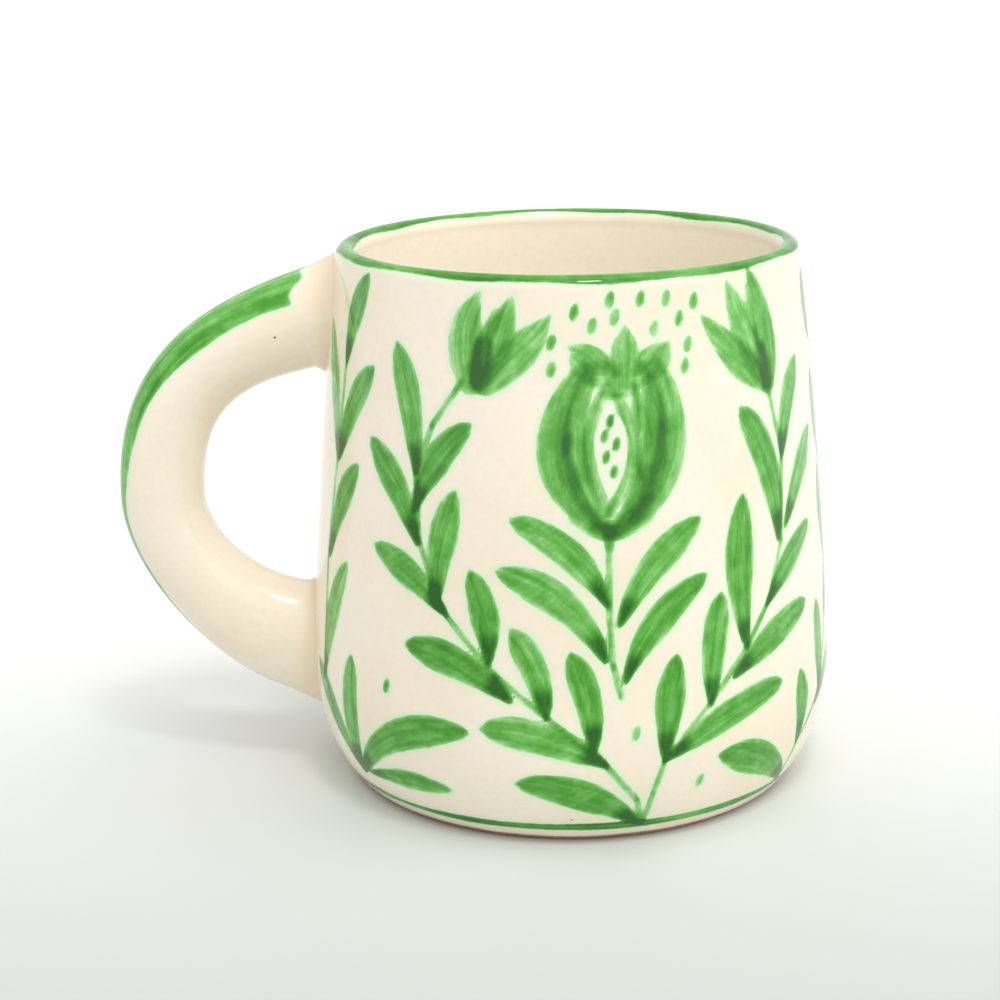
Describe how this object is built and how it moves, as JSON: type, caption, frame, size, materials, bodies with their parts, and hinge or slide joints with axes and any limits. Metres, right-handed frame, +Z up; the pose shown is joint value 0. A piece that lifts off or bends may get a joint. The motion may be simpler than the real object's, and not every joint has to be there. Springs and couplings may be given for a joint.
{
  "type": "stoneware mug",
  "caption": "Glazed stoneware mug with a gently flared body, rounded lower corner, full-round lip and a thick luted C handle, brushed all over with green leaf vines and flowers.",
  "frame": {"origin": "centre of the foot ring on the plane the mug stands on", "axes": "+Z up along the axis of the body; the handle points to -X, so +X is the side away from the handle; the flower-painted front faces -Y"},
  "size_m": [0.1198, 0.0876, 0.09],
  "materials": {
    "painted_body": "gloss",
    "painted_handle": "gloss",
    "glazed_slip": "gloss"
  },
  "bodies": {
    "root": {"cup_body": "painted_body", "handle": "painted_handle", "upper_slip_joint": "glazed_slip", "lower_slip_joint": "glazed_slip"}
  },
  "joints": []
}
